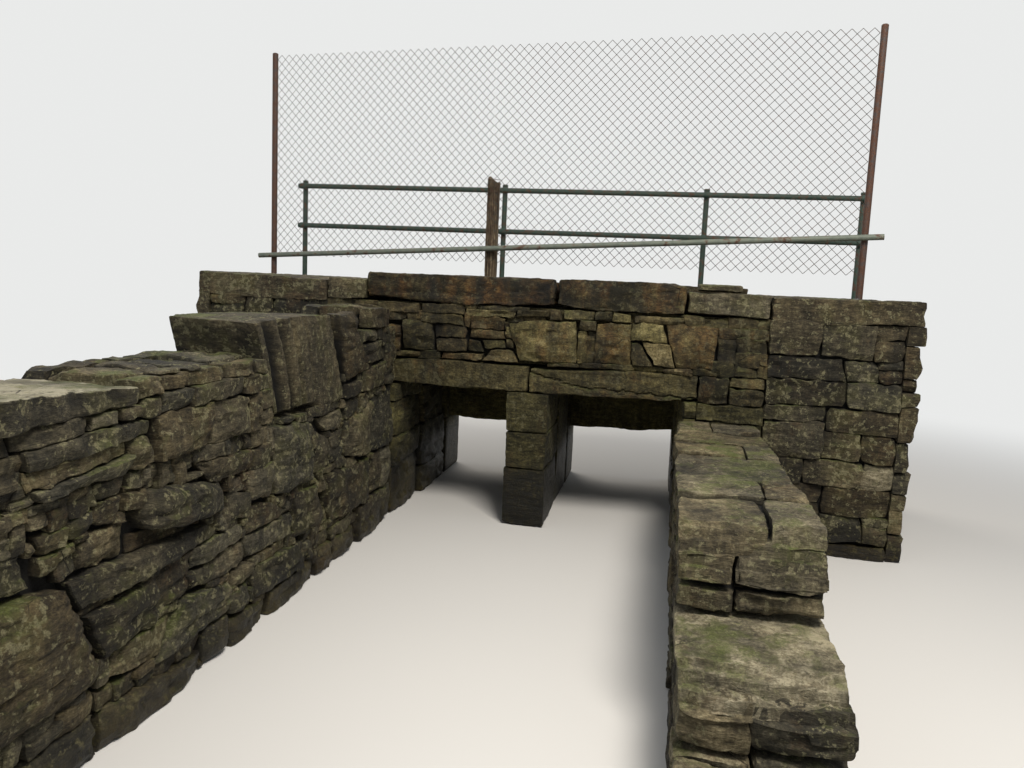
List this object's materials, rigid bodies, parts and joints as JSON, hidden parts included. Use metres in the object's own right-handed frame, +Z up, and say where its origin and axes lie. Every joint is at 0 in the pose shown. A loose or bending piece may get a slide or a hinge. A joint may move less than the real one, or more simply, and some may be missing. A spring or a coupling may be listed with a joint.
{
  "type": "stone sluiceway",
  "caption": "Old stone sluiceway: a pier-split culvert under a headwall with coping, between ruined wing walls, with a chain-link fence and a pipe railing on top",
  "frame": {"origin": "centre of the bounding box's foot, on the water level under the channel, in front of the headwall", "axes": "+X to the right bank seen from downstream, +Y upstream along the channel, +Z up"},
  "size_m": [5.5, 6.3, 3.725],
  "materials": {
    "rubble_stone": "rough",
    "dressed_stone": "worn",
    "wet_stone": "wet",
    "fence_wire": "dull",
    "fence_steel": "weathered",
    "fence_timber": "weathered",
    "pipe_grey": "dull",
    "railing_green": "weathered"
  },
  "bodies": {
    "root": {"pier_base_block": "wet_stone", "pier_middle_block": "dressed_stone", "pier_top_block": "dressed_stone", "pier_body": "dressed_stone", "pier_nose_lower": "wet_stone", "pier_nose_upper": "dressed_stone", "left_abutment": "rubble_stone", "left_jamb_lower": "wet_stone", "left_jamb_upper": "rubble_stone", "right_abutment": "rubble_stone", "right_jamb_lower": "wet_stone", "right_jamb_upper": "rubble_stone", "left_lintel": "dressed_stone", "right_lintel": "dressed_stone", "left_roof_slab": "dressed_stone", "right_roof_slab": "dressed_stone", "left_rear_lintel": "dressed_stone", "right_rear_lintel": "dressed_stone", "left_rubble": "rubble_stone", "right_rubble": "rubble_stone", "levelling_course": "rubble_stone", "left_coping": "dressed_stone", "right_coping": "dressed_stone", "left_end_stone": "dressed_stone", "right_end_stone": "dressed_stone", "right_end_slab": "dressed_stone", "crest_core": "rubble_stone", "deck_slab_left": "dressed_stone", "deck_slab_middle": "dressed_stone", "deck_slab_right": "dressed_stone", "upstream_rubble": "rubble_stone", "upstream_left_coping": "dressed_stone", "upstream_right_coping": "dressed_stone", "left_return": "rubble_stone", "left_return_cap": "dressed_stone", "right_return": "rubble_stone", "right_return_cap": "dressed_stone", "left_wing_wall": "rubble_stone", "left_wing_near_top": "rubble_stone", "left_wing_cap": "dressed_stone", "left_wing_low_top": "rubble_stone", "left_wing_tall_block": "dressed_stone", "left_wing_low_step": "rubble_stone", "left_wing_high_step": "rubble_stone", "right_wing_lower": "wet_stone", "right_wing_middle": "rubble_stone", "right_wing_upper": "rubble_stone", "fence_post_left": "fence_steel", "fence_post_right": "fence_steel", "fence_post_middle": "fence_timber", "fence_mesh_left": "fence_wire", "fence_mesh_right": "fence_wire", "fence_bottom_rail": "pipe_grey", "railing_post_left": "railing_green", "railing_post_second": "railing_green", "railing_post_third": "railing_green", "railing_post_right": "railing_green", "railing_top_rail": "railing_green", "railing_middle_rail": "railing_green"}
  },
  "joints": []
}
